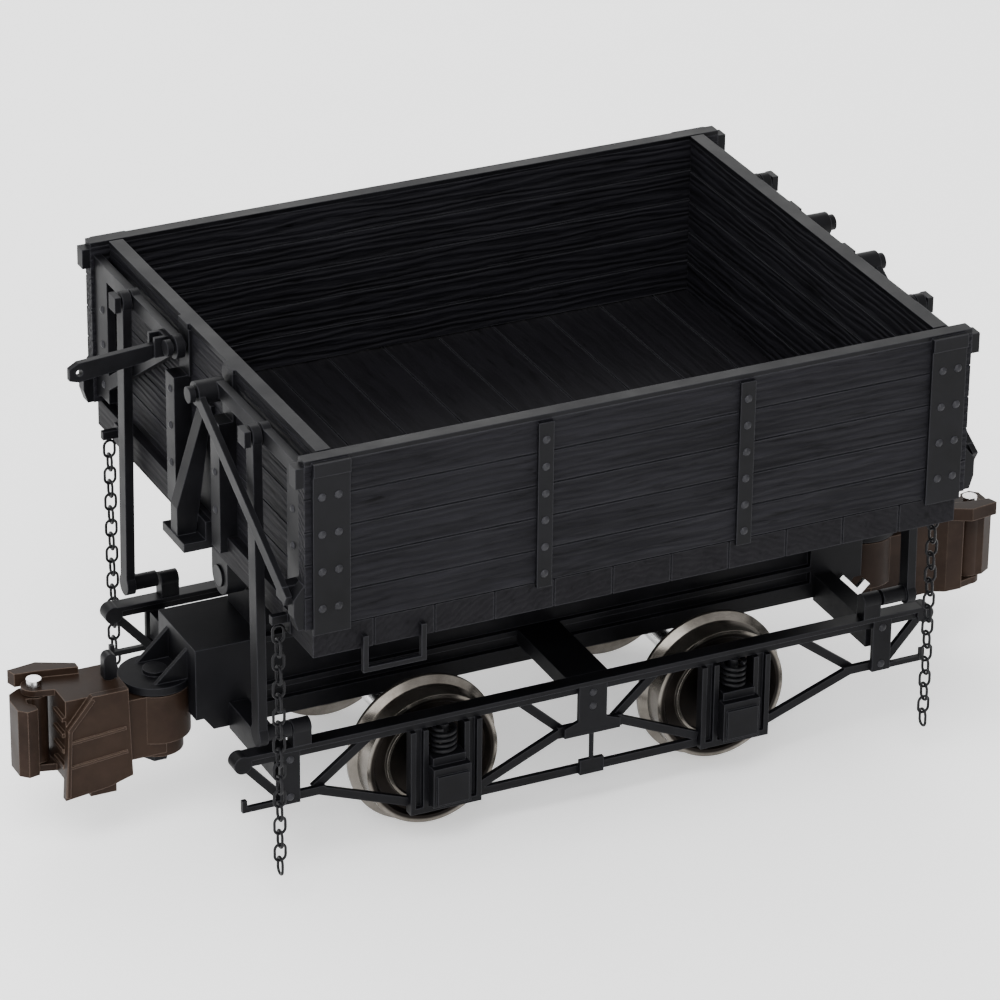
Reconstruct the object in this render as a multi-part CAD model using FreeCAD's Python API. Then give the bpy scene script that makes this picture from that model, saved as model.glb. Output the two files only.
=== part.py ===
import FreeCAD, Part
import math
import os

# Two-way side-dump ore car for a 45 mm gauge model railway.
# Millimetres, +Z up, X along the track, front side is -Y, rail line at Z = 0.

V = FreeCAD.Vector

# Running gear
WHEELBASE_HALF = 29.2
AXLE_Z = 14.62
FLANGE_R = 14.62
TREAD_R = 13.2
AXLE_R = 1.9
WHEEL_BORE_R = 1.91
JOURNAL_CLEARANCE = 0.06

# Centre sill and draft gear
SILL_HALF_WIDTH = 8.65
SILL_WEB_HALF = 7.4
SILL_BOTTOM = 20.0
SILL_TOP = 36.6
SILL_END = 67.9
DRAFT_BOX_START = 56.9
COUPLER_PIVOT_X = 72.3
DISC_BOTTOM = 27.8
DISC_TOP = 29.3
POCKET_R = 6.7
SOCKET_R = 6.8
DRUM_R = 6.4

# Side trusses
CHORD_TOP = 27.0
CHORD_BOTTOM = 24.4
CHORD_FLANGE = 0.9
CHORD_END = 68.6
KNOB_Z = 25.5
TRUSS_IN = 29.0
TRUSS_MID = 30.0
TRUSS_FACE = 31.0
TRUSS_OUT = 32.0
STRAP_W = 1.6

# Trunnion on which the bin tips
TIP_Z = 46.0
SHAFT_R = 2.0
SHAFT_BORE_R = 2.06
SHAFT_HALF = 59.8
STAND_X0 = 50.0
STAND_X1 = 55.0
HANGER_X0 = 55.6
HANGER_X1 = 59.4

# Bin
FLOOR_BOTTOM = 54.6
FLOOR_TOP = 60.0
FLOOR_HALF_X = 62.8
FLOOR_HALF_Y = 49.7
FLOOR_PLANKS = 11
WALL_IN = 58.3
WALL_OUT = 60.8
WALL_HALF_Y = 46.9
WALL_PLANKS = 5
WALL_TOP = 91.6
CAP_TOP = 92.5
PLANK_GROOVE = 0.35

# Side doors
DOOR_IN = 47.4
DOOR_OUT = 50.0
DOOR_BOTTOM = 60.35
DOOR_HALF_X = 64.4
STRAP_OUT = 50.7
STRAP_X = 19.5
STRAP_HALF = 1.45
CORNER_X0 = 56.2
CORNER_X1 = 63.1
DOOR_PIVOT_Y = 9.5
DOOR_PIVOT_Z = 88.0
PIVOT_PIN_R = 0.9
PIVOT_BORE_R = 0.96
ARM_X0 = 62.2
ARM_X1 = 63.8
POST_Y0 = 41.2
BRACE_X0 = 66.4
BRACE_X1 = 67.5
BRACE_FOOT_Z = 66.0
BRACE_W = 2.4

# Door props
PROP_X0 = 64.1
PROP_X1 = 65.8
EYE_Y = 29.7
EYE_Z = 88.6
FOOT_Y = 31.0
FOOT_Z = 30.5
EYE_BOLT_R = 0.8
EYE_BORE_R = 0.86

# Chains
CHAIN_Y = 39.2
CHAIN_X = 64.8
CHAIN_TOP = 56.3
LINK_PITCH = 2.73
LINK_W = 2.6
WIRE_R = 0.26
CHAIN_LINKS = 18
LINK_PLAY = 0.04

# Couplers
KNUCKLE_PIN_X = 94.3
KNUCKLE_PIN_Y = 3.0
LIFT_PIN_X = 81.1
HEAD_BOTTOM = 13.4
HEAD_TOP = 30.0
HEAD_HALF = 5.2
DRUM_BOTTOM = 17.8
DRUM_TOP = 27.4

RIVET_R = 0.75
RIVET_H = 0.45


def box(x0, x1, y0, y1, z0, z1):
    return Part.makeBox(x1 - x0, y1 - y0, z1 - z0, V(x0, y0, z0))


def rod_x(r, x0, x1, y, z):
    return Part.makeCylinder(r, x1 - x0, V(x0, y, z), V(1, 0, 0))


def rod_y(r, y0, y1, x, z):
    return Part.makeCylinder(r, y1 - y0, V(x, y0, z), V(0, 1, 0))


def rod_z(r, z0, z1, x, y):
    return Part.makeCylinder(r, z1 - z0, V(x, y, z0), V(0, 0, 1))


def prism(points, along):
    # Extrude a closed polygon of vectors along a vector.
    ring = [V(*p) for p in points]
    ring.append(ring[0])
    return Part.Face(Part.makePolygon(ring)).extrude(V(*along))


def prism_x(yz, x0, x1):
    return prism([(x0, y, z) for y, z in yz], (x1 - x0, 0, 0))


def prism_y(xz, y0, y1):
    return prism([(x, y0, z) for x, z in xz], (0, y1 - y0, 0))


def prism_z(xy, z0, z1):
    return prism([(x, y, z0) for x, y in xy], (0, 0, z1 - z0))


def strip(a, b, w):
    # Corners of a flat strip of width w between two points in a plane.
    dx = b[0] - a[0]
    dy = b[1] - a[1]
    n = math.hypot(dx, dy)
    ox = -dy / n * w / 2
    oy = dx / n * w / 2
    return [(a[0] + ox, a[1] + oy), (b[0] + ox, b[1] + oy), (b[0] - ox, b[1] - oy), (a[0] - ox, a[1] - oy)]


def fuse(parts):
    body = parts[0]
    for other in parts[1:]:
        body = body.fuse(other)
    return body.removeSplitter()


def mirror_x(s):
    return s.mirror(V(0, 0, 0), V(1, 0, 0))


def mirror_y(s):
    return s.mirror(V(0, 0, 0), V(0, 1, 0))


def two_ends(shapes):
    return shapes + [mirror_x(s) for s in shapes]


def two_sides(shapes):
    return shapes + [mirror_y(s) for s in shapes]


def four(shapes):
    return two_sides(two_ends(shapes))


def save(name, shapes):
    solids = []
    for s in shapes:
        solids.extend(s.Solids)
    shape = solids[0] if len(solids) == 1 else Part.makeCompound(solids)
    shape.exportStep("parts/" + name + ".step")


def dome(centre, axis):
    # Rivet head: a cap of a ball standing on a plate face.
    ball_r = (RIVET_R ** 2 + RIVET_H ** 2) / (2 * RIVET_H)
    c = V(*centre)
    d = V(*axis)
    ball = Part.makeSphere(ball_r, c - d * (ball_r - RIVET_H))
    cutter = Part.makeCylinder(ball_r * 2, RIVET_H * 2, c, d)
    return ball.common(cutter)


def link(x, y, z, turned):
    # One oval chain link centred at a point, its long way vertical.
    r = LINK_W / 2 - WIRE_R
    side = LINK_PITCH / 2 + WIRE_R - r + LINK_PLAY
    path = Part.Wire([
        Part.makeLine(V(r, 0, -side), V(r, 0, side)),
        Part.Arc(V(r, 0, side), V(0, 0, side + r), V(-r, 0, side)).toShape(),
        Part.makeLine(V(-r, 0, side), V(-r, 0, -side)),
        Part.Arc(V(-r, 0, -side), V(0, 0, -side - r), V(r, 0, -side)).toShape(),
    ])
    ring = Part.Wire([Part.makeCircle(WIRE_R, V(r, 0, -side), V(0, 0, 1))])
    body = path.makePipeShell([ring], True, True)
    if turned:
        body.rotate(V(0, 0, 0), V(0, 0, 1), 90)
    body.translate(V(x, y, z))
    return body


os.makedirs("parts", exist_ok=True)

# ---------------------------------------------------------------- underframe
sill_profile = [
    (SILL_HALF_WIDTH, SILL_BOTTOM), (SILL_HALF_WIDTH, 23.2), (SILL_WEB_HALF, 23.2), (SILL_WEB_HALF, 25.6),
    (SILL_HALF_WIDTH, 25.6), (SILL_HALF_WIDTH, 26.7), (SILL_WEB_HALF, 26.7), (SILL_WEB_HALF, 35.4),
    (SILL_HALF_WIDTH, 35.4), (SILL_HALF_WIDTH, SILL_TOP),
]
sill_outline = sill_profile + [(-y, z) for y, z in reversed(sill_profile)]
draft_box = prism_y([
    (DRAFT_BOX_START, SILL_BOTTOM), (64.5, SILL_BOTTOM), (66.4, 22.5), (SILL_END, 22.5),
    (SILL_END, SILL_TOP), (DRAFT_BOX_START, SILL_TOP),
], -SILL_HALF_WIDTH, SILL_HALF_WIDTH)
sill = fuse([prism_x(sill_outline, -DRAFT_BOX_START, DRAFT_BOX_START), draft_box, mirror_x(draft_box)])
# Round sockets in the sill ends for the coupler drums
for sign in (-1, 1):
    sill = sill.cut(rod_z(SOCKET_R, SILL_BOTTOM - 1, DISC_BOTTOM, sign * COUPLER_PIVOT_X, 0))
save("center_sill", [sill])

# Round draft pocket plate with two gussets and the coupler pivot pin
pocket = rod_z(POCKET_R, DISC_BOTTOM, DISC_TOP, COUPLER_PIVOT_X, 0)
pocket = pocket.common(box(SILL_END, 90, -10, 10, 20, 30))
gusset_tri = [(SILL_END, DISC_TOP), (SILL_END + 6.2, DISC_TOP), (SILL_END, 35.2)]
PIVOT_PIN_BOTTOM = 12.0
NUT_TOP = 13.6
pocket_parts = [
    pocket,
    prism_y(gusset_tri, 4.0, 4.9),
    prism_y(gusset_tri, -4.9, -4.0),
    rod_z(1.2, NUT_TOP, DISC_TOP, COUPLER_PIVOT_X, 0),
    rod_z(2.2, DISC_TOP, DISC_TOP + 0.8, COUPLER_PIVOT_X, 0),
]
save("draft_pockets", two_ends([fuse(pocket_parts)]))
save("pivot_nuts", two_ends([prism_z([
    (COUPLER_PIVOT_X + 2.4 * math.cos(math.radians(60 * k)), 2.4 * math.sin(math.radians(60 * k)))
    for k in range(6)], PIVOT_PIN_BOTTOM, NUT_TOP)]))

# Bright bent clip on the side of each draft box
clip = fuse([
    prism_y(strip((63.0, 23.4), (66.8, 19.2), 1.6), -9.5, -SILL_HALF_WIDTH),
    prism_y(strip((66.5, 19.1), (68.9, 21.4), 1.6), -9.5, -SILL_HALF_WIDTH),
])
clip_left = clip.copy()
clip_left.rotate(V(0, 0, 0), V(0, 0, 1), 180)
save("draft_clips", [clip, clip_left])

centre_beam = box(-4.2, 4.2, SILL_HALF_WIDTH, TRUSS_IN, 24.0, 27.0)
end_beam = box(57.7, 61.5, SILL_HALF_WIDTH, TRUSS_IN, 19.5, 24.8)
save("cross_beams", two_sides([centre_beam]) + four([end_beam]))

# Side trusses: a folded top chord, flat straps, gusset plates and tie rods
chord = fuse([
    box(-CHORD_END, CHORD_END, TRUSS_IN, TRUSS_OUT, CHORD_TOP - CHORD_FLANGE, CHORD_TOP),
    box(-CHORD_END, CHORD_END, TRUSS_MID, TRUSS_FACE, CHORD_BOTTOM, CHORD_TOP - CHORD_FLANGE),
    rod_y(1.7, TRUSS_IN, TRUSS_OUT, CHORD_END, KNOB_Z),
    rod_y(1.7, TRUSS_IN, TRUSS_OUT, -CHORD_END, KNOB_Z),
])
save("truss_top_chords", two_sides([chord]))

# Pedestals guide the axle boxes
PED_IN = 3.55
PED_OUT = 7.0
PED_FOOT_BOTTOM = 7.5
PED_FOOT_TOP = 8.7
legs = []
for sign in (-1, 1):
    x_a = WHEELBASE_HALF + sign * PED_IN
    x_b = WHEELBASE_HALF + sign * PED_OUT
    x_rib = WHEELBASE_HALF + sign * (PED_IN + 1.0)
    x_rib2 = WHEELBASE_HALF + sign * (PED_OUT - 1.0)
    lo, hi = min(x_a, x_b), max(x_a, x_b)
    legs.append(box(lo, hi, TRUSS_MID, TRUSS_FACE, PED_FOOT_TOP, CHORD_BOTTOM))
    lo, hi = min(x_a, x_rib), max(x_a, x_rib)
    legs.append(box(lo, hi, TRUSS_IN, TRUSS_OUT, PED_FOOT_TOP, CHORD_BOTTOM))
    lo, hi = min(x_b, x_rib2), max(x_b, x_rib2)
    legs.append(box(lo, hi, TRUSS_FACE, TRUSS_OUT, PED_FOOT_TOP, CHORD_BOTTOM))
legs.append(box(WHEELBASE_HALF - PED_OUT, WHEELBASE_HALF + PED_OUT, TRUSS_MID, TRUSS_OUT,
                PED_FOOT_BOTTOM, PED_FOOT_TOP))
pedestal = fuse(legs)
save("pedestals", four([pedestal]))

FOOT_X = 22.4
lower_parts = []
for sign in (-1, 1):
    lower_parts.append(prism_y([(sign * x, z) for x, z in strip((FOOT_X - 0.4, 9.9), (5.2, 17.4), STRAP_W)],
                               TRUSS_MID, TRUSS_FACE))
lower_parts.append(prism_y(strip((-6.4, 17.0), (6.4, 17.0), 2.2), TRUSS_MID, TRUSS_FACE))
lower_mid = fuse(lower_parts)
bottom_chord = box(-FOOT_X + 0.4, FOOT_X - 0.4, TRUSS_MID, TRUSS_FACE, 7.8, 9.4)
lower_mid = fuse([lower_mid, bottom_chord])
lower_mid = lower_mid.cut(box(-2.4, 2.4, TRUSS_FACE, TRUSS_OUT, 7.8, 10.8))
outer_strap = fuse([
    prism_y(strip((36.2, 9.9), (53.6, 16.4), STRAP_W), TRUSS_MID, TRUSS_FACE),
    prism_y(strip((52.4, 16.4), (61.5, 16.4), STRAP_W), TRUSS_MID, TRUSS_FACE),
    prism_y(strip((60.6, 16.4), (68.2, 25.0), STRAP_W), TRUSS_MID, TRUSS_FACE),
])
for sign in (-1, 1):
    lower_mid = lower_mid.cut(pedestal if sign > 0 else mirror_x(pedestal))
outer_strap = outer_strap.cut(pedestal).cut(chord)
save("truss_lower_straps", two_sides([lower_mid]) + four([outer_strap]))

upper_inner = prism_y(strip((14.6, 25.4), (5.4, 17.0), STRAP_W), TRUSS_IN, TRUSS_MID)
upper_outer = prism_y(strip((42.4, 25.3), (54.2, 16.4), STRAP_W), TRUSS_IN, TRUSS_MID)
save("truss_upper_straps", four([upper_inner, upper_outer]))

centre_gusset = prism_y([(-2.8, 26.1), (2.8, 26.1), (2.8, 19.0), (5.6, 18.0), (5.6, 16.1), (-5.6, 16.1),
                         (-5.6, 18.0), (-2.8, 19.0)], TRUSS_FACE, TRUSS_OUT - 0.1)
end_gusset = prism_y([(57.7, 26.1), (61.5, 26.1), (61.5, 15.6), (57.7, 15.6)], TRUSS_FACE, TRUSS_OUT - 0.1)
save("truss_gussets", two_sides([centre_gusset]) + four([end_gusset]))

# Tie rod hanging from the centre node to the bottom chord, with its nut plate
tie = fuse([rod_z(0.45, 9.4, 16.1, 0, 31.45), box(-2.4, 2.4, TRUSS_FACE, TRUSS_OUT - 0.1, 7.8, 10.8)])
save("tie_rods", two_sides([tie]))

# Hooks on the end nodes that hold the slack chains in service
hook = fuse([
    box(61.5, 68.8, TRUSS_FACE, TRUSS_OUT - 0.1, 15.8, 16.8),
    box(67.9, 68.8, TRUSS_FACE, TRUSS_OUT - 0.1, 15.8, 18.2),
])
save("chain_hooks", four([hook]))

# Rivet heads and bolts on the frame
frame_rivets = []
for x, z in ((59.6, 24.6), (59.6, 17.0)):
    frame_rivets.append(dome((x, TRUSS_OUT - 0.1, z), (0, 1, 0)))
frame_rivets = four(frame_rivets)
for z in (24.6, 21.8):
    frame_rivets.extend(two_sides([dome((0, TRUSS_OUT - 0.1, z), (0, 1, 0))]))
save("frame_rivets", frame_rivets)

# Trunnion stands on the sill
STAND_HEAD_R = 3.8
stand = fuse([
    prism_x([(-7.0, SILL_TOP), (7.0, SILL_TOP), (7.0, 38.0), (3.2, 44.0), (-3.2, 44.0), (-7.0, 38.0)],
            STAND_X0, STAND_X1),
    rod_x(STAND_HEAD_R, STAND_X0, STAND_X1, 0, TIP_Z),
])
stand = stand.cut(rod_x(SHAFT_BORE_R, STAND_X0 - 1, STAND_X1 + 1, 0, TIP_Z))
save("trunnion_stands", two_ends([stand]))
save("trunnion_shaft", [rod_x(SHAFT_R, -SHAFT_HALF, SHAFT_HALF, 0, TIP_Z)])

# Brackets that carry the prop feet
bracket = fuse([
    box(55.5, 59.0, 29.2, 32.0, CHORD_TOP, FOOT_Z),
    rod_x(1.5, 55.5, 59.0, 30.6, FOOT_Z - 0.2),
])
save("prop_brackets", four([bracket]))

# ------------------------------------------------------------- running gear
BOX_HALF = 3.2
LID_HALF = 3.7
BOX_TOP = 19.0
axle_box = fuse([
    box(WHEELBASE_HALF - BOX_HALF, WHEELBASE_HALF + BOX_HALF, 28.6, 33.2, 9.1, BOX_TOP),
    box(WHEELBASE_HALF - LID_HALF, WHEELBASE_HALF + LID_HALF, 32.4, 34.6, 9.6, 17.4),
    box(WHEELBASE_HALF - LID_HALF + 0.6, WHEELBASE_HALF + LID_HALF - 0.6, 34.6, 35.1, 10.2, 16.0),
])
axle_box = axle_box.cut(rod_y(AXLE_R + JOURNAL_CLEARANCE, 28.0, 32.6, WHEELBASE_HALF, AXLE_Z))
save("axle_boxes_left", two_sides([mirror_x(axle_box)]))
save("axle_boxes_right", two_sides([axle_box]))

SPRING_R = 2.1
SPRING_WIRE = 0.4
spring_h = CHORD_BOTTOM - BOX_TOP - 2 * SPRING_WIRE
helix = Part.makeHelix(1.1, spring_h, SPRING_R)
section = Part.Wire([Part.makeCircle(SPRING_WIRE, V(SPRING_R, 0, 0), V(0, 1, 0))])
coil = Part.Wire(helix.Edges).makePipeShell([section], True, True)
coil.translate(V(WHEELBASE_HALF, 30.5, BOX_TOP + SPRING_WIRE))
save("springs_left", two_sides([mirror_x(coil)]))
save("springs_right", two_sides([coil]))
save("spring_guides", four([rod_z(1.0, 20.7, CHORD_BOTTOM, WHEELBASE_HALF, 30.5)]))

wheel_profile = [
    (20.2, WHEEL_BORE_R), (20.2, 13.4), (20.6, FLANGE_R), (21.3, FLANGE_R), (22.3, TREAD_R), (26.0, TREAD_R - 0.25),
    (26.0, 11.6), (24.9, 11.0), (24.9, 8.9), (25.4, 8.7), (25.4, 8.2), (24.9, 8.0), (24.7, 4.2), (26.0, 3.6),
    (26.3, 3.2), (26.3, WHEEL_BORE_R),
]
ring = [V(0, y, r) for y, r in wheel_profile]
ring.append(ring[0])
wheel = Part.Face(Part.makePolygon(ring)).revolve(V(0, 0, 0), V(0, 1, 0), 360)
wheel.translate(V(WHEELBASE_HALF, 0, AXLE_Z))
axle = rod_y(AXLE_R, -32.0, 32.0, WHEELBASE_HALF, AXLE_Z)
save("wheels_left", two_sides([mirror_x(wheel)]))
save("wheels_right", two_sides([wheel]))
save("axle_left", [mirror_x(axle)])
save("axle_right", [axle])

# ---------------------------------------------------------------------- bin
pitch = 2 * FLOOR_HALF_X / FLOOR_PLANKS
floor = box(-FLOOR_HALF_X, FLOOR_HALF_X, -FLOOR_HALF_Y, FLOOR_HALF_Y, FLOOR_BOTTOM, FLOOR_TOP)
groove_tool = []
for k in range(1, FLOOR_PLANKS):
    x = -FLOOR_HALF_X + k * pitch
    groove_tool.append(box(x - PLANK_GROOVE / 2, x + PLANK_GROOVE / 2, -60, 60, FLOOR_TOP - 0.3, 70))
    for sign in (-1, 1):
        y0 = sign * FLOOR_HALF_Y
        groove_tool.append(box(x - PLANK_GROOVE / 2, x + PLANK_GROOVE / 2, min(y0 - 0.3 * sign, y0 + sign),
                               max(y0 - 0.3 * sign, y0 + sign), 50, 70))
floor = floor.cut(Part.makeCompound(groove_tool))
save("floor_planks", [floor])

bolster = box(HANGER_X0, HANGER_X1, -28, 28, 51.6, FLOOR_BOTTOM)
hanger = fuse([
    bolster,
    box(HANGER_X0, HANGER_X1, -3.6, 3.6, TIP_Z, 52.0),
    rod_x(3.6, HANGER_X0, HANGER_X1, 0, TIP_Z),
])
hanger = hanger.cut(rod_x(SHAFT_BORE_R, HANGER_X0 - 1, HANGER_X1 + 1, 0, TIP_Z))
save("tipping_hangers", two_ends([hanger]))
save("floor_bolsters", two_ends([box(17.5, 21.0, -28, 28, 51.6, FLOOR_BOTTOM)]))

wall = box(WALL_IN, WALL_OUT, -WALL_HALF_Y, WALL_HALF_Y, FLOOR_TOP, WALL_TOP)
wall_pitch = (WALL_TOP - FLOOR_TOP) / WALL_PLANKS
cuts = []
for k in range(1, WALL_PLANKS):
    z = FLOOR_TOP + k * wall_pitch
    cuts.append(box(WALL_IN - 1, WALL_IN + 0.3, -60, 60, z - PLANK_GROOVE / 2, z + PLANK_GROOVE / 2))
    cuts.append(box(WALL_OUT - 0.3, WALL_OUT + 1, -60, 60, z - PLANK_GROOVE / 2, z + PLANK_GROOVE / 2))
wall = wall.cut(Part.makeCompound(cuts))
save("end_walls", two_ends([wall]))

cap = fuse([
    box(WALL_IN - 0.1, WALL_OUT + 0.1, -WALL_HALF_Y, WALL_HALF_Y, WALL_TOP, CAP_TOP),
    box(WALL_OUT, 61.5, 8.3, 12.4, WALL_TOP, CAP_TOP),
    box(WALL_OUT, 61.5, -12.4, -8.3, WALL_TOP, CAP_TOP),
])
save("end_wall_caps", two_ends([cap]))

stake = fuse([
    box(WALL_OUT, 64.2, 8.3, 12.2, FLOOR_TOP, 82.5),
    box(FLOOR_HALF_X, 64.2, 8.3, 12.2, 57.2, FLOOR_TOP),
    box(WALL_OUT, 61.5, 7.6, 12.2, 82.5, WALL_TOP),
])
save("end_stakes", four([stake]))

# A strut on each end wall leans out from a pad near the rim to a foot plate at floor level
FOOT_PLATE_Z0 = 54.7
FOOT_PLATE_Z1 = 56.4
FOOT_PLATE_X = 68.2
STRUT_HALF = 1.5
STRUT_TOP = 80.4
PAD_X = 61.7
strut = prism_y([(PAD_X, STRUT_TOP), (62.4, STRUT_TOP), (68.0, 61.8), (68.0, FOOT_PLATE_Z1), (64.4, FOOT_PLATE_Z1),
                 (PAD_X, 75.6)], -STRUT_HALF, STRUT_HALF)
bracket_shape = fuse([
    box(FLOOR_HALF_X, FOOT_PLATE_X, -5, 5, FOOT_PLATE_Z0, FOOT_PLATE_Z1),
    box(FLOOR_HALF_X, 64.0, -5, 5, FOOT_PLATE_Z1, FLOOR_TOP),
    strut,
    box(WALL_OUT, PAD_X, -2.6, 2.6, FLOOR_TOP, STRUT_TOP + 0.8),
])
save("end_brackets", two_ends([bracket_shape]))

# Long pins carry the arms whose brace stands outboard; the lever arm has a short one
def pivot_pin(head_x, sign_y):
    return fuse([
        rod_x(PIVOT_PIN_R, 61.5, head_x, sign_y * DOOR_PIVOT_Y, DOOR_PIVOT_Z),
        rod_x(1.5, head_x, head_x + 1.1, sign_y * DOOR_PIVOT_Y, DOOR_PIVOT_Z),
    ])


LONG_PIN_HEAD = 67.8
SHORT_PIN_HEAD = 64.2
save("door_pivot_pins", two_ends([pivot_pin(LONG_PIN_HEAD, -1)]) + [
    pivot_pin(LONG_PIN_HEAD, 1), mirror_x(pivot_pin(SHORT_PIN_HEAD, 1))])

anchor = fuse([
    box(FLOOR_HALF_X, 63.2, CHAIN_Y - 1.5, CHAIN_Y + 1.5, 54.9, 59.0),
    box(63.2, 66.2, CHAIN_Y - 0.6, CHAIN_Y + 0.6, 56.8, 58.4),
])
save("chain_anchors", four([anchor]))

# Rivets on the bin ends, domed heads proud of stakes and wall
bin_rivets = []
for z in (79.6, 72.4, 65.0):
    bin_rivets.append(dome((64.2, 10.2, z), (1, 0, 0)))
save("bin_rivets", four(bin_rivets))

# Stirrup steps under two opposite corners of the floor
STEP_X0 = -53.8
STEP_X1 = -41.9
STEP_W = 0.95
step = fuse([
    box(STEP_X0, STEP_X0 + STEP_W, -FLOOR_HALF_Y - STEP_W, -FLOOR_HALF_Y, 50.1, 57.2),
    box(STEP_X1 - STEP_W, STEP_X1, -FLOOR_HALF_Y - STEP_W, -FLOOR_HALF_Y, 50.1, 57.2),
    box(STEP_X0, STEP_X1, -FLOOR_HALF_Y - STEP_W, -FLOOR_HALF_Y, 50.1, 50.1 + STEP_W),
])
step2 = step.copy()
step2.rotate(V(0, 0, 0), V(0, 0, 1), 180)
save("stirrup_steps", [step, step2])

# -------------------------------------------------------------------- doors
door = box(-DOOR_HALF_X, DOOR_HALF_X, -DOOR_OUT, -DOOR_IN, DOOR_BOTTOM, WALL_TOP)
door_pitch = (WALL_TOP - DOOR_BOTTOM) / WALL_PLANKS
cuts = []
for k in range(1, WALL_PLANKS):
    z = DOOR_BOTTOM + k * door_pitch
    cuts.append(box(-70, 70, -DOOR_OUT - 1, -DOOR_OUT + 0.3, z - PLANK_GROOVE / 2, z + PLANK_GROOVE / 2))
    cuts.append(box(-70, 70, -DOOR_IN - 0.3, -DOOR_IN + 1, z - PLANK_GROOVE / 2, z + PLANK_GROOVE / 2))
door = door.cut(Part.makeCompound(cuts))

corner = fuse([
    box(CORNER_X0, CORNER_X1, -STRAP_OUT, -DOOR_OUT, 59.4, 91.5),
    box(CORNER_X0, CORNER_X1, -STRAP_OUT - 0.4, -DOOR_OUT, 89.6, 92.1),
])
strap = box(STRAP_X - STRAP_HALF, STRAP_X + STRAP_HALF, -STRAP_OUT, -DOOR_OUT, 59.4, 91.2)
cap_strip = box(-DOOR_HALF_X, DOOR_HALF_X, -DOOR_OUT, -DOOR_IN, WALL_TOP, CAP_TOP)
bump = box(DOOR_HALF_X, 66.0, -DOOR_OUT, -DOOR_IN, 87.6, 91.4)
bulge = prism_x([(-49.8, 60.5), (-47.4, 60.5), (-47.4, 69.0), (-49.8, 69.0)], DOOR_HALF_X, 66.4)
bulge = bulge.common(prism_y([(DOOR_HALF_X, 60.5), (65.6, 60.5), (66.4, 63.0), (66.4, 66.5), (DOOR_HALF_X, 69.0)],
                             -52, -40))
ironwork = two_ends([corner, strap, bump, bulge]) + [cap_strip]

# Each arm is a bar and a corner post with a diagonal brace; the brace stands outboard of the prop,
# except on the arm that carries the lever, where it lies in the plane of the bar
bar = box(ARM_X0, ARM_X1, -DOOR_IN, -DOOR_PIVOT_Y, 87.2, 90.0)
post = box(ARM_X0, ARM_X1, -DOOR_IN, -POST_Y0, 62.6, 88.0)
arm_core = fuse([
    bar, post,
    rod_x(2.2, ARM_X0, ARM_X1, -DOOR_PIVOT_Y, DOOR_PIVOT_Z),
    rod_x(2.0, ARM_X0, ARM_X1, -EYE_Y, EYE_Z),
])
inner_brace = prism_x(strip((-DOOR_PIVOT_Y, DOOR_PIVOT_Z), (-DOOR_IN - 2, 61.4), BRACE_W), ARM_X0, ARM_X1)
inner_brace = inner_brace.cut(box(ARM_X0 - 1, ARM_X1 + 1, -60, -DOOR_IN, 50, 70))
outer_brace = prism_x(strip((-DOOR_PIVOT_Y, DOOR_PIVOT_Z), (-DOOR_IN - 1.2, BRACE_FOOT_Z), BRACE_W),
                      BRACE_X0, BRACE_X1)
arm_bore = rod_x(PIVOT_BORE_R, ARM_X0 - 1, BRACE_X1 + 1, -DOOR_PIVOT_Y, DOOR_PIVOT_Z)
braced_arm = fuse([
    arm_core, outer_brace,
    rod_x(2.2, ARM_X1, BRACE_X1, -DOOR_PIVOT_Y, DOOR_PIVOT_Z),
    box(ARM_X1, BRACE_X1, -DOOR_IN, -DOOR_IN + 2.6, BRACE_FOOT_Z - 0.6, BRACE_FOOT_Z + 2.2),
]).cut(arm_bore)
lever_arm = fuse([arm_core, inner_brace]).cut(arm_bore)
arms = {
    "front": two_ends([braced_arm]),
    "rear": [mirror_y(braced_arm), mirror_x(mirror_y(lever_arm))],
}

door_rivets = []
for k in range(6):
    for x in (STRAP_X, -STRAP_X):
        door_rivets.append(dome((x, -STRAP_OUT, 87.93 - k * 5.17), (0, -1, 0)))
for k in range(4):
    for x in (61.44, 58.38, -61.44, -58.38):
        door_rivets.append(dome((x, -STRAP_OUT, 85.6 - k * 7.094), (0, -1, 0)))

for z in (80.7, 73.7, 65.6):
    door_rivets.extend(two_ends([dome((ARM_X1, -43.6, z), (1, 0, 0))]))

eye_bolt = fuse([
    rod_x(EYE_BOLT_R, ARM_X1, 66.2, -EYE_Y, EYE_Z),
    box(66.1, 67.3, -EYE_Y - 1.5, -EYE_Y + 1.5, EYE_Z - 1.5, EYE_Z + 1.5),
])
bolts = two_ends([eye_bolt])

for side in ("front", "rear"):
    turn = (lambda s: s) if side == "front" else mirror_y
    save("door_planks_" + side, [turn(door)])
    save("door_ironwork_" + side, [turn(s) for s in ironwork])
    save("door_arms_" + side, arms[side])
    save("door_rivets_" + side, [turn(s) for s in door_rivets])
    save("eye_bolts_" + side, [turn(s) for s in bolts])

# Props from the door arms down to the frame
prop_bar = prism_x(strip((-EYE_Y, EYE_Z), (-FOOT_Y, FOOT_Z), 3.0), PROP_X0, PROP_X1)
prop = fuse([
    prop_bar,
    rod_x(1.9, PROP_X0, PROP_X1, -EYE_Y, EYE_Z),
    rod_x(2.1, PROP_X0, PROP_X1, -FOOT_Y, FOOT_Z),
    rod_x(1.5, 59.4, PROP_X0, -FOOT_Y, FOOT_Z),
])
prop = prop.cut(rod_x(EYE_BORE_R, PROP_X0 - 1, PROP_X1 + 1, -EYE_Y, EYE_Z))
props = two_ends([prop])
save("props_front", props)
save("props_rear", [mirror_y(s) for s in props])

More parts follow.
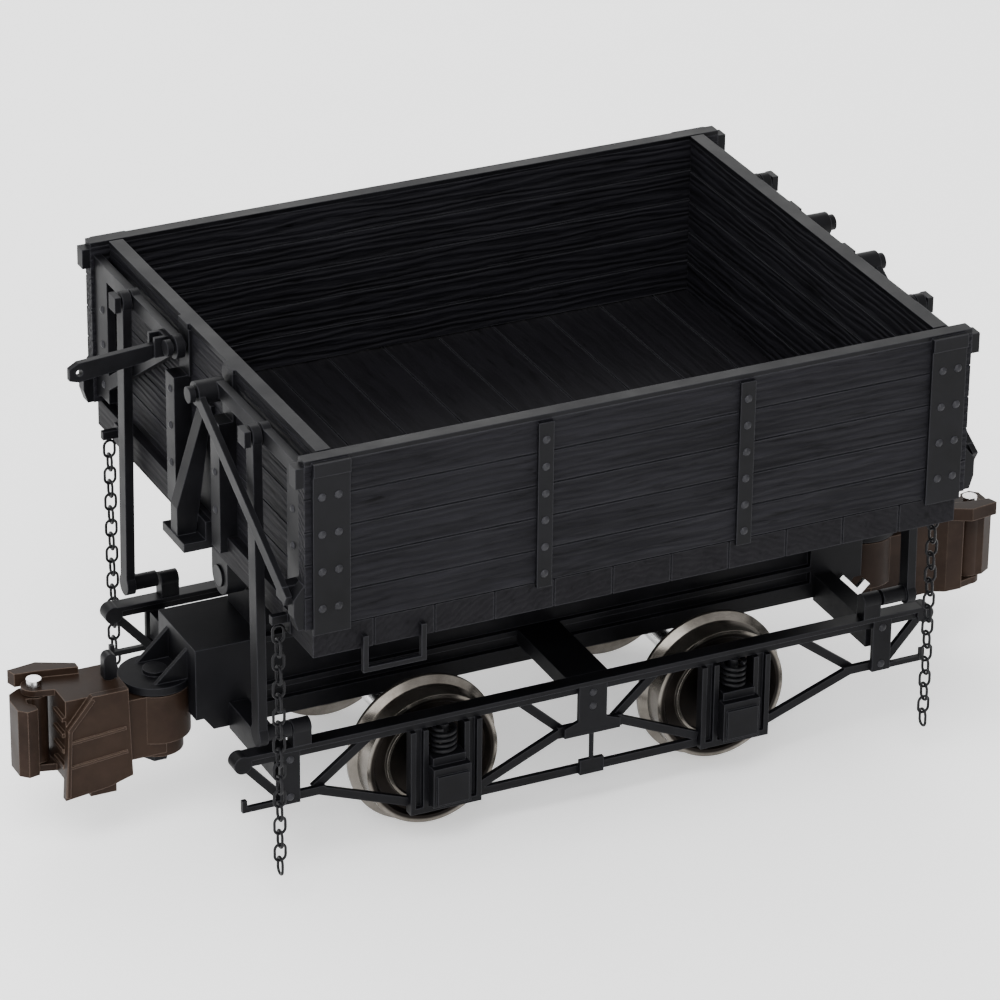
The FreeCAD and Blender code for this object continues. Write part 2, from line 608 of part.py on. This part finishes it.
# Hand lever on a clevis at the left end of the rear door arm
clevis = fuse([
    box(-66.4, -ARM_X1, 11.6, 12.3, 85.4, 89.2),
    box(-66.4, -ARM_X1, 14.2, 14.9, 85.4, 89.2),
    box(-64.4, -ARM_X1, 11.6, 14.9, 88.4, 89.2),
    rod_y(0.6, 11.8, 14.7, -65.4, 86.4),
])
save("lever_clevis", [clevis])
lever_bar = prism_y([(-65.6, 87.6), (-65.6, 85.2), (-68.0, 84.4), (-80.5, 82.9), (-82.2, 83.4), (-82.2, 85.6), (-80.5, 86.6)],
                    12.65, 13.85)
lever_eye = rod_y(1.2, 12.65, 13.85, -65.4, 86.4)
lever = fuse([lever_bar, lever_eye])
lever = lever.cut(rod_y(0.66, 12, 14.5, -65.4, 86.4))
lever = lever.cut(rod_y(0.65, 12, 14.5, -80.3, 84.7))
save("dump_lever", [lever])

# Chains: welded oval links hanging from the floor anchors
links = []
for k in range(CHAIN_LINKS):
    links.append(link(CHAIN_X, -CHAIN_Y, CHAIN_TOP - LINK_PITCH * (k + 0.62), k % 2 == 1))
save("chains_front", two_ends(links))
save("chains_rear", [mirror_y(s) for s in two_ends(links)])

# ----------------------------------------------------------------- couplers
# A round drum under the pocket disc, a neck, and a deep head with a side guard plate
drum = rod_z(DRUM_R, DRUM_BOTTOM, DRUM_TOP, COUPLER_PIVOT_X, 0)
drum_foot = rod_z(5.0, 14.4, DRUM_BOTTOM, COUPLER_PIVOT_X, 0)
neck = box(COUPLER_PIVOT_X, 80.0, -HEAD_HALF, HEAD_HALF, 15.2, DRUM_TOP)
head = prism_z([(79.4, -HEAD_HALF), (91.5, -HEAD_HALF), (91.5, 6.2), (88.0, 6.2), (86.0, HEAD_HALF),
                (79.4, HEAD_HALF)], HEAD_BOTTOM, HEAD_TOP)
lug_plan = [(90.5, -0.4), (KNUCKLE_PIN_X, 0.6), (KNUCKLE_PIN_X, 5.4), (90.5, 6.2)]
lugs = []
for z0, z1 in ((HEAD_BOTTOM, 14.8), (28.8, HEAD_TOP)):
    lugs.append(prism_z(lug_plan, z0, z1))
    lugs.append(rod_z(2.4, z0, z1, KNUCKLE_PIN_X, KNUCKLE_PIN_Y))
wing = prism_z([(85.5, 3.6), (93.0, 5.2), (97.0, 5.6), (97.6, 7.6), (92.0, 8.4), (85.5, 5.2)], 28.8, 31.4)
guard = prism_y([(79.4, 13.0), (80.0, 30.6), (86.8, 30.6), (91.6, 24.6), (92.4, 10.6), (84.0, 11.6)],
                -HEAD_HALF - 1.4, -HEAD_HALF)
guard_lip = prism_y(strip((86.8, 30.2), (91.4, 24.6), 0.9), -HEAD_HALF - 1.8, -HEAD_HALF - 1.4)
guard_ribs = [
    prism_y(strip((80.6, 23.0), (91.0, 22.2), 0.5), -HEAD_HALF - 1.75, -HEAD_HALF - 1.4),
    prism_y(strip((80.4, 18.2), (91.4, 17.2), 0.5), -HEAD_HALF - 1.75, -HEAD_HALF - 1.4),
    prism_y(strip((91.3, 24.6), (91.9, 11.2), 0.7), -HEAD_HALF - 1.8, -HEAD_HALF - 1.4),
]
face_ribs = [box(91.5, 92.2, -HEAD_HALF, -0.6, z, z + 0.8) for z in (16.4, 19.6, 22.8, 26.0)]
clip_foot = box(82.5, 87.5, -HEAD_HALF - 1.0, -HEAD_HALF + 1.6, 10.2, 13.6)
coupler = fuse([drum, drum_foot, neck, head, wing, guard, guard_lip, clip_foot] + lugs + guard_ribs + face_ribs)
coupler = coupler.cut(rod_z(1.27, 5, 30, COUPLER_PIVOT_X, 0))
coupler = coupler.cut(rod_z(0.97, 5, 35, KNUCKLE_PIN_X, KNUCKLE_PIN_Y))
coupler = coupler.cut(rod_z(1.06, 21, 35, LIFT_PIN_X, 0))
knuckle_z0 = 15.1
knuckle_z1 = 28.5
knuckle = fuse([
    rod_z(2.4, knuckle_z0, knuckle_z1, KNUCKLE_PIN_X, KNUCKLE_PIN_Y),
    prism_z([(93.6, 5.2), (96.4, 5.4), (98.7, 4.0), (99.4, 2.0), (99.4, -2.2), (98.0, -3.6), (95.9, -3.2),
             (95.9, -1.6), (96.8, -0.4), (96.6, 1.2), (94.8, 0.8)], knuckle_z0, knuckle_z1),
])
knuckle = knuckle.cut(rod_z(1.0, 5, 35, KNUCKLE_PIN_X, KNUCKLE_PIN_Y))
knuckle_pin = fuse([
    rod_z(0.92, 13.6, 31.0, KNUCKLE_PIN_X, KNUCKLE_PIN_Y),
    rod_z(1.4, HEAD_TOP, 31.3, KNUCKLE_PIN_X, KNUCKLE_PIN_Y),
])
lift_pin = fuse([
    rod_z(1.0, 22.0, 32.0, LIFT_PIN_X, 0),
    box(LIFT_PIN_X - 1.2, LIFT_PIN_X + 1.2, -1.0, 1.0, 30.3, 34.0),
    rod_y(1.2, -1.0, 1.0, LIFT_PIN_X, 34.0),
])
for side in ("left", "right"):
    # The guard plate is on the front side at the left end and on the rear side at the right end
    for name, shape in (("coupler_", coupler), ("knuckle_", knuckle), ("knuckle_pin_", knuckle_pin),
                        ("lift_pin_", lift_pin)):
        save(name + side, [mirror_x(shape) if side == "left" else mirror_y(shape)])
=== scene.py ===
import math

import bpy
from mathutils import Matrix, Vector


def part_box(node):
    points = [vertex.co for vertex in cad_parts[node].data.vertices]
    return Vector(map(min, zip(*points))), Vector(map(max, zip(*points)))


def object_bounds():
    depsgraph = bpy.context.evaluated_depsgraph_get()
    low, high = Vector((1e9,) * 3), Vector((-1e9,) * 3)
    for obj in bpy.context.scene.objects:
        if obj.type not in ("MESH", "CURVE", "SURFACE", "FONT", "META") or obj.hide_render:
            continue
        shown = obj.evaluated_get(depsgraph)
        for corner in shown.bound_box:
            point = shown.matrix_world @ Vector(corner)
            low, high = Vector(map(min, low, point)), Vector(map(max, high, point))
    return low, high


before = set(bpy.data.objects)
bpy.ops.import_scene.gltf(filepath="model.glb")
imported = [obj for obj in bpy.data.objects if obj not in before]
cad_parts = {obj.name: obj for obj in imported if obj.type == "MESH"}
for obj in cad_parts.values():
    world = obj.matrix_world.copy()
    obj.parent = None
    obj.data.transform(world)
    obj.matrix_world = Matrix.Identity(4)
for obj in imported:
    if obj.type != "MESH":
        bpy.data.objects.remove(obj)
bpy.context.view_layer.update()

MM_PER_METRE = 1000.0


# ------------------------------------------------------------------ camera
CAM_YAW = 25.716                     # degrees from -Y towards -X
CAM_PITCH = 27.031                   # degrees above the horizon
CAM_ROLL = 0.682                     # degrees
CAM_SHIFT = (-0.00292, 0.043362)     # metres along the picture's right and up
CAM_DISTANCE = 1.011471              # metres
CAM_LENS = 194.39                    # millimetres
CAM_SENSOR_WIDTH = 36.0              # millimetres
CAM_CLIP_END = 20                    # metres


def make_camera():
    data = bpy.data.cameras.new("main_camera")
    cam = bpy.data.objects.new("main_camera", data)
    bpy.context.scene.collection.objects.link(cam)
    yaw = math.radians(CAM_YAW)
    pitch = math.radians(CAM_PITCH)
    roll = math.radians(CAM_ROLL)
    back = Vector((
        -math.sin(yaw) * math.cos(pitch),
        -math.cos(yaw) * math.cos(pitch),
        math.sin(pitch),
    ))
    level_right = Vector((0, 0, 1)).cross(back).normalized()
    level_up = back.cross(level_right)
    right = level_right * math.cos(roll) + level_up * math.sin(roll)
    up = level_up * math.cos(roll) - level_right * math.sin(roll)
    place = back * CAM_DISTANCE + right * CAM_SHIFT[0] + up * CAM_SHIFT[1]
    cam.matrix_world = Matrix((
        (right.x, up.x, back.x, place.x),
        (right.y, up.y, back.y, place.y),
        (right.z, up.z, back.z, place.z),
        (0, 0, 0, 1),
    ))
    data.sensor_width = CAM_SENSOR_WIDTH
    data.lens = CAM_LENS
    data.clip_end = CAM_CLIP_END
    bpy.context.scene.camera = cam


make_camera()


# --------------------------------------------------------------- materials
BEVEL_SAMPLES = 4
EDGE_WEAR_AND_HIGHLIGHT_FULL = 0.35                     # how far the rounded normal turns for full edge wear, and for the full painted edge highlight on the coupler
EVEN = (1, 1, 1)                     # mapping scale that keeps a texture the same in all directions
PATCH_LIFT = 1.25                    # lighter patches on wood, as a share of its light colour
PORE_SHADE = 0.45                    # pores, as a share of the dark colour
LINE_SHADE = 0.6                     # grain lines, as a share of the dark colour
DUST_LIFT = 1.4                      # dust on paint, as a share of its light colour
PAINT_SMOOTHER = 0.08                # how far roughness goes below a finish's own value
METAL_SMOOTHER = 0.06
ROUGHER = 0.1                        # and above it

# Noise textures, as keyword arguments of Nodes.noise
FINE_GRAIN = {"scale": 900, "detail": 5, "rough": 0.62, "distortion": 0.4}
BROAD_GRAIN = {"scale": 260, "detail": 3, "rough": 0.5, "distortion": 0.6}
WOOD_PATCHES = {"scale": 45, "detail": 3, "rough": 0.5}
PAINT_CAST = {"scale": 700}
PAINT_PATCHES = {"scale": 70}
METAL_GRAIN = {"scale": 1400}
METAL_PATCHES = {"scale": 130}
WHEEL_PATCHES = {"scale": 160}
PAPER_GRAIN = {"scale": 40, "detail": 3, "rough": 0.5}


def scaled(color, factor):
    return tuple(c * factor for c in color)


class Nodes:
    """Small helper that builds one procedural material."""

    def __init__(self, name):
        self.mat = bpy.data.materials.new(name)
        self.mat.use_nodes = True
        self.tree = self.mat.node_tree
        self.tree.nodes.clear()
        out = self.new("ShaderNodeOutputMaterial")
        self.bsdf = self.new("ShaderNodeBsdfPrincipled")
        self.link(self.bsdf.outputs[0], out.inputs[0])
        self.coord = self.new("ShaderNodeTexCoord")

    def new(self, kind):
        return self.tree.nodes.new(kind)

    def link(self, a, b):
        self.tree.links.new(a, b)

    def feed(self, sock, val):
        # A socket is linked, a colour or number is set
        if isinstance(val, bpy.types.NodeSocket):
            self.link(val, sock)
        elif isinstance(val, tuple):
            sock.default_value = (*val, 1)
        else:
            sock.default_value = val

    def surface(self, **inputs):
        # Inputs of the Principled shader, with underscores for the spaces in their names
        for name, val in inputs.items():
            self.feed(self.bsdf.inputs[name.replace("_", " ")], val)

    def mapping(self, scale):
        m = self.new("ShaderNodeMapping")
        m.inputs["Scale"].default_value = scale
        self.link(self.coord.outputs["Object"], m.inputs["Vector"])
        return m.outputs[0]

    def noise(self, vec, scale, detail=4.0, rough=0.6, distortion=0.0):
        n = self.new("ShaderNodeTexNoise")
        n.inputs["Scale"].default_value = scale
        n.inputs["Detail"].default_value = detail
        n.inputs["Roughness"].default_value = rough
        n.inputs["Distortion"].default_value = distortion
        self.link(vec, n.inputs["Vector"])
        return n.outputs["Fac"]

    def rings(self, vec):
        # Raised grain lines that wander along the plank
        w = self.new("ShaderNodeTexWave")
        w.wave_type = "RINGS"
        w.rings_direction = "SPHERICAL"
        w.inputs["Scale"].default_value = 260.0
        w.inputs["Distortion"].default_value = 7.0
        w.inputs["Detail"].default_value = 4.0
        w.inputs["Detail Scale"].default_value = 1.6
        self.link(vec, w.inputs["Vector"])
        return w.outputs["Fac"]

    def ramp(self, fac, stops):
        n = self.new("ShaderNodeValToRGB")
        e = n.color_ramp.elements
        while len(e) < len(stops):
            e.new(0.5)
        for el, (pos, col) in zip(e, stops):
            el.position = pos
            el.color = (col, col, col, 1) if isinstance(col, float) else (*col, 1)
        self.link(fac, n.inputs[0])
        return n.outputs[0]

    def fade(self, fac, span, ends):
        # Goes from the first end to the second over the span. Ends are numbers or colours.
        return self.ramp(fac, list(zip(span, ends)))

    def mix(self, fac, a, b):
        # Inputs 6 and 7 and output 2 are the node's colour sockets
        n = self.new("ShaderNodeMix")
        n.data_type = "RGBA"
        self.feed(n.inputs[0], fac)
        self.feed(n.inputs[6], a)
        self.feed(n.inputs[7], b)
        return n.outputs[2]

    def math(self, operation, *values):
        m = self.new("ShaderNodeMath")
        m.operation = operation
        for sock, val in zip(m.inputs, values):
            self.feed(sock, val)
        return m.outputs[0]

    def bevel_normal(self, radius):
        bev = self.new("ShaderNodeBevel")
        bev.samples = BEVEL_SAMPLES
        bev.inputs["Radius"].default_value = radius
        return bev.outputs[0]

    def bump(self, height, strength, distance, radius):
        # Relief over corners rounded to the radius, in metres
        n = self.new("ShaderNodeBump")
        n.inputs["Strength"].default_value = strength
        n.inputs["Distance"].default_value = distance
        self.link(height, n.inputs["Height"])
        self.link(self.bevel_normal(radius), n.inputs["Normal"])
        return n.outputs[0]

    def edges(self, radius):
        # Edge mask, for edge wear and, on the coupler, a painted edge highlight: where the rounded
        # normal leaves the true normal
        geo = self.new("ShaderNodeNewGeometry")
        dot = self.new("ShaderNodeVectorMath")
        dot.operation = "DOT_PRODUCT"
        self.link(self.bevel_normal(radius), dot.inputs[0])
        self.link(geo.outputs["Normal"], dot.inputs[1])
        turned = self.math("SUBTRACT", 1.0, dot.outputs["Value"])
        return self.fade(turned, span=(0.0, EDGE_WEAR_AND_HIGHLIGHT_FULL), ends=(0.0, 1.0))


def wood_material(name, grain_axis, dark, light, edge, relief_depth=0.00042):
    # Stained plank wood: streaks drawn out along one axis, with pores and worn edges
    grain_stretch = 0.12
    broad_share = 0.45
    ring_share = 0.4
    n = Nodes(name)
    scale = [1.0, 1.0, 1.0]
    scale[grain_axis] = grain_stretch
    vec = n.mapping(tuple(scale))
    fine = n.noise(vec, **FINE_GRAIN)
    broad = n.noise(vec, **BROAD_GRAIN)
    patch = n.noise(n.mapping(EVEN), **WOOD_PATCHES)
    streak = n.mix(broad_share, fine, broad)
    rings = n.rings(vec)
    relief = n.mix(ring_share, streak, rings)
    lighter = n.fade(patch, span=(0.35, 0.75), ends=(0.0, 0.35))
    pores = n.fade(fine, span=(0.30, 0.40), ends=(1.0, 0.0))
    lines = n.fade(rings, span=(0.15, 0.45), ends=(0.35, 0.0))
    base = n.fade(streak, span=(0.34, 0.66), ends=(dark, light))
    base = n.mix(lighter, base, scaled(light, PATCH_LIFT))
    base = n.mix(pores, base, scaled(dark, PORE_SHADE))
    base = n.mix(lines, base, scaled(dark, LINE_SHADE))
    base = n.mix(n.edges(radius=0.00035), base, edge)
    n.surface(
        Base_Color=base,
        Roughness=n.fade(streak, span=(0.3, 0.7), ends=(0.68, 0.5)),
        Specular_IOR_Level=0.07,
        Normal=n.bump(relief, strength=1.0, distance=relief_depth, radius=0.00012),
    )
    return n.mat


def paint_material(name, dark, light, edge, rough=0.45, spec=0.12):
    # Painted or cast iron: dusty patches, a fine cast skin and lighter edges, which are worn edges and,
    # on the coupler, a painted highlight
    n = Nodes(name)
    vec = n.mapping(EVEN)
    cast = n.noise(vec, **PAINT_CAST)
    patch = n.noise(vec, **PAINT_PATCHES)
    dust = n.fade(cast, span=(0.5, 0.8), ends=(0.0, 0.3))
    base = n.fade(patch, span=(0.32, 0.7), ends=(dark, light))
    base = n.mix(dust, base, scaled(light, DUST_LIFT))
    # Lighter edges: wear, and on the coupler a painted highlight along the edges
    base = n.mix(n.edges(radius=0.0003), base, edge)
    n.surface(
        Base_Color=base,
        Roughness=n.fade(patch, span=(0.3, 0.7), ends=(rough - PAINT_SMOOTHER, rough + ROUGHER)),
        Specular_IOR_Level=spec,
        Normal=n.bump(cast, strength=0.25, distance=0.00006, radius=0.0002),
    )
    return n.mat


def metal_material(name, color, tarnish, rough):
    n = Nodes(name)
    vec = n.mapping(EVEN)
    fine = n.noise(vec, **METAL_GRAIN)
    patch = n.noise(vec, **METAL_PATCHES)
    n.surface(
        Base_Color=n.mix(n.fade(patch, span=(0.4, 0.75), ends=(0.0, 1.0)), color, tarnish),
        Metallic=1.0,
        Roughness=n.fade(fine, span=(0.3, 0.7), ends=(rough - METAL_SMOOTHER, rough + ROUGHER)),
        Normal=n.bump(fine, strength=0.12, distance=0.00003, radius=0.00015),
    )
    return n.mat


# Distance from the axle in millimetres, and how much of the dark face colour shows there:
# bright hub, dark recess with a bright ring in it, bright rim
FACE_STOPS = [
    (0.0, 0.0), (3.2, 0.0), (3.9, 1.0), (8.05, 1.0), (8.3, 0.1), (8.8, 0.1), (9.0, 1.0),
    (12.1, 1.0), (12.5, 0.0),
]
FACE_RAMP_SPAN = 16.0                # millimetres of distance over the whole ramp


def wheel_material(axle_x, axle_z):
    # Bright turned tread and flange, dark bronze face. Both wheelsets share it, since they stand at
    # the same distance either side of the middle.
    n = Nodes("wheel_metal")
    sep = n.new("ShaderNodeSeparateXYZ")
    n.link(n.coord.outputs["Object"], sep.inputs[0])
    dx = n.math("SUBTRACT", n.math("ABSOLUTE", sep.outputs[0]), axle_x)
    dz = n.math("SUBTRACT", sep.outputs[2], axle_z)
    square_sum = n.math("ADD", n.math("MULTIPLY", dx, dx), n.math("MULTIPLY", dz, dz))
    distance = n.math("MULTIPLY", n.math("SQRT", square_sum), MM_PER_METRE / FACE_RAMP_SPAN)
    face = n.ramp(distance, [(mm / FACE_RAMP_SPAN, share) for mm, share in FACE_STOPS])
    patch = n.noise(n.mapping(EVEN), **WHEEL_PATCHES)
    bronze = n.fade(patch, span=(0.3, 0.7), ends=((0.004, 0.003, 0.0025), (0.012, 0.009, 0.007)))
    nickel = n.fade(patch, span=(0.3, 0.7), ends=((0.09, 0.08, 0.068), (0.2, 0.185, 0.165)))
    comb = n.new("ShaderNodeCombineXYZ")
    n.link(distance, comb.inputs[0])
    turned = n.new("ShaderNodeTexNoise")
    turned.inputs["Scale"].default_value = 90.0
    n.link(comb.outputs[0], turned.inputs["Vector"])
    n.surface(
        Base_Color=n.mix(face, nickel, bronze),
        Metallic=0.9,
        Roughness=n.fade(face, span=(0.0, 1.0), ends=(0.24, 0.42)),
        Normal=n.bump(turned.outputs["Fac"], strength=0.08, distance=0.00003, radius=0.0002),
    )
    return n.mat


# Linear colours: shadow, light and edge wear
WOOD_DARK = (0.0024, 0.0023, 0.0031)
WOOD_LIGHT = (0.0086, 0.0084, 0.0106)
WOOD_EDGE = (0.028, 0.028, 0.032)
FLOOR_DARK = (0.0034, 0.0032, 0.0041)
FLOOR_LIGHT = (0.0056, 0.0053, 0.0066)
FLOOR_RELIEF = 0.00014
ALONG_X = 0
ALONG_Y = 1

door_wood = wood_material("door_wood", ALONG_X, WOOD_DARK, WOOD_LIGHT, WOOD_EDGE)
end_wood = wood_material("end_wood", ALONG_Y, WOOD_DARK, WOOD_LIGHT, WOOD_EDGE)
floor_wood = wood_material("floor_wood", ALONG_Y, FLOOR_DARK, FLOOR_LIGHT, WOOD_EDGE, FLOOR_RELIEF)
body_paint = paint_material(
    "body_paint", dark=(0.0016, 0.0016, 0.002), light=(0.0045, 0.0045, 0.0056),
    edge=(0.03, 0.03, 0.035), spec=0.09)
rivet_paint = paint_material(
    "rivet_paint", dark=(0.009, 0.009, 0.0105), light=(0.019, 0.019, 0.022),
    edge=(0.05, 0.05, 0.058), rough=0.36)
black_iron = paint_material(
    "black_iron", dark=(0.0018, 0.0018, 0.0022), light=(0.005, 0.005, 0.006),
    edge=(0.022, 0.022, 0.026), rough=0.38)
# The coupler's bright orange-brown edge colour is a painted highlight along its edges
coupler_brown = paint_material(
    "coupler_brown", dark=(0.010, 0.0056, 0.0038), light=(0.022, 0.0135, 0.0095),
    edge=(0.13, 0.095, 0.075), rough=0.4, spec=0.06)
bright_steel = metal_material(
    "bright_steel", color=(0.75, 0.75, 0.75), tarnish=(0.5, 0.5, 0.5), rough=0.22)

axle_low, axle_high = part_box("axle_right")
wheel_metal = wheel_material((axle_low[0] + axle_high[0]) / 2, (axle_low[2] + axle_high[2]) / 2)

# Nodes that aren't plain black body paint
FINISHES = (
    (door_wood, ("door_planks_front", "door_planks_rear")),
    (end_wood, ("end_walls", "floor_bolsters")),
    (floor_wood, ("floor_planks",)),
    (rivet_paint, ("door_rivets_front", "door_rivets_rear", "bin_rivets", "frame_rivets")),
    (wheel_metal, ("wheels_left", "wheels_right")),
    (bright_steel, ("axle_left", "axle_right", "draft_clips", "knuckle_pin_left", "knuckle_pin_right")),
    (black_iron, ("springs_left", "springs_right", "spring_guides", "trunnion_shaft")),
    (black_iron, ("chains_front", "chains_rear", "lift_pin_left", "lift_pin_right")),
    (coupler_brown, ("coupler_left", "coupler_right", "knuckle_left", "knuckle_right")),
)
finish_of = {node: mat for mat, nodes in FINISHES for node in nodes}

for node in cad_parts:
    obj = bpy.data.objects.get(node)
    if obj is not None:
        obj.data.materials.clear()
        obj.data.materials.append(finish_of.get(node, body_paint))


# ------------------------------------------------------- stage and lights
FLOOR_HALF = 6.0                     # metres
FLOOR_GAP = 0.0002                   # metres below the wheels
FLOOR_GLOW = 0.45
PAPER_DARK = (0.965, 0.965, 0.965)
PAPER_LIGHT = (0.985, 0.985, 0.985)
AIM = (0, 0, 0.05)                   # the point that every light faces
LIGHTS = (
    # name, place, side of the square lamp, watts
    ("key_light", (-0.5, -0.6, 1.3), 0.9, 17),
    ("front_light", (-0.55, -1.35, 0.6), 1.0, 13),
    ("left_light", (-1.5, -0.1, 0.6), 1.0, 6),
    ("back_light", (0.3, 1.2, 1.0), 1.0, 10),
)
WORLD_STRENGTH = 1.3


def add_floor():
    low_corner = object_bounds()[0]
    z = low_corner[2] - FLOOR_GAP
    corners = [
        (-FLOOR_HALF, -FLOOR_HALF, z),
        (FLOOR_HALF, -FLOOR_HALF, z),
        (FLOOR_HALF, FLOOR_HALF, z),
        (-FLOOR_HALF, FLOOR_HALF, z),
    ]
    me = bpy.data.meshes.new("floor")
    me.from_pydata(corners, [], [(0, 1, 2, 3)])
    obj = bpy.data.objects.new("floor", me)
    bpy.context.scene.collection.objects.link(obj)
    n = Nodes("floor_paper")
    grain = n.noise(n.mapping(EVEN), **PAPER_GRAIN)
    n.surface(
        Base_Color=n.fade(grain, span=(0.3, 0.7), ends=(PAPER_DARK, PAPER_LIGHT)),
        Roughness=0.9,
        Specular_IOR_Level=0.1,
        Emission_Color=(1, 1, 1),
        Emission_Strength=FLOOR_GLOW,
    )
    me.materials.append(n.mat)


def add_light(name, place, size, power):
    data = bpy.data.lights.new(name, "AREA")
    data.shape = "SQUARE"
    data.size = size
    data.energy = power
    obj = bpy.data.objects.new(name, data)
    bpy.context.scene.collection.objects.link(obj)
    obj.location = place
    direction = Vector(AIM) - Vector(place)
    obj.rotation_euler = direction.to_track_quat("-Z", "Y").to_euler()


add_floor()
for light in LIGHTS:
    add_light(*light)
world = bpy.data.worlds.new("studio")
bpy.context.scene.world = world
world.use_nodes = True
background = world.node_tree.nodes["Background"]
background.inputs["Color"].default_value = (1, 1, 1, 1)
background.inputs["Strength"].default_value = WORLD_STRENGTH
